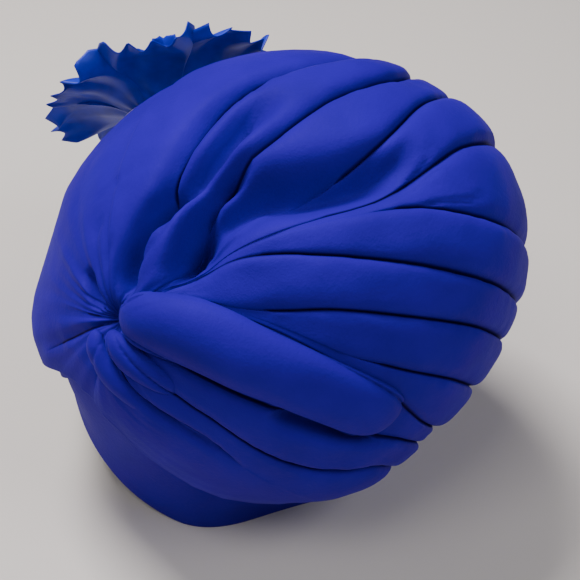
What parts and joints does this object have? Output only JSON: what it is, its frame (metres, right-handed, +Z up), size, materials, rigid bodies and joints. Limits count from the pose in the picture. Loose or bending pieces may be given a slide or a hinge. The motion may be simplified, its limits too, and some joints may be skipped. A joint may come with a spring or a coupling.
{
  "type": "turban hat",
  "caption": "Royal blue turban hat: smooth head band under a large pleated, puffed crown gathered to one side with a padded roll, and a satin bloom sewn to the other side.",
  "frame": {"origin": "centre of the bounding box at the plane that the rim rests on", "axes": "+Z up from the rim to the crown, -Y the way the wearer looks, +X the wearer's left"},
  "size_m": [0.2778, 0.2946, 0.2469],
  "materials": {
    "turban_cloth": "royal blue matte knit cloth with a fine grain and a soft sheen on its folds",
    "petal_satin": "deep blue satin, a little greener than the hat, with raw pointed edges",
    "backing_felt": "pale thin felt"
  },
  "bodies": {
    "root": {"base_band": "turban_cloth", "brow_band": "turban_cloth", "drape_brow": "turban_cloth", "drape_right": "turban_cloth", "drape_front": "turban_cloth", "drape_top": "turban_cloth", "drape_back": "turban_cloth", "drape_side": "turban_cloth", "drape_low_side": "turban_cloth", "side_roll": "turban_cloth", "knot_tuck_upper": "turban_cloth", "knot_tuck_lower": "turban_cloth", "flower_backing": "backing_felt", "outer_petal_1": "petal_satin", "outer_petal_2": "petal_satin", "outer_petal_3": "petal_satin", "outer_petal_4": "petal_satin", "outer_petal_5": "petal_satin", "outer_petal_6": "petal_satin", "outer_petal_7": "petal_satin", "middle_petal_1": "petal_satin", "middle_petal_2": "petal_satin", "middle_petal_3": "petal_satin", "middle_petal_4": "petal_satin", "middle_petal_5": "petal_satin", "middle_petal_6": "petal_satin", "inner_petal_1": "petal_satin", "inner_petal_2": "petal_satin", "inner_petal_3": "petal_satin", "inner_petal_4": "petal_satin", "inner_petal_5": "petal_satin", "flower_centre": "petal_satin"}
  },
  "joints": []
}
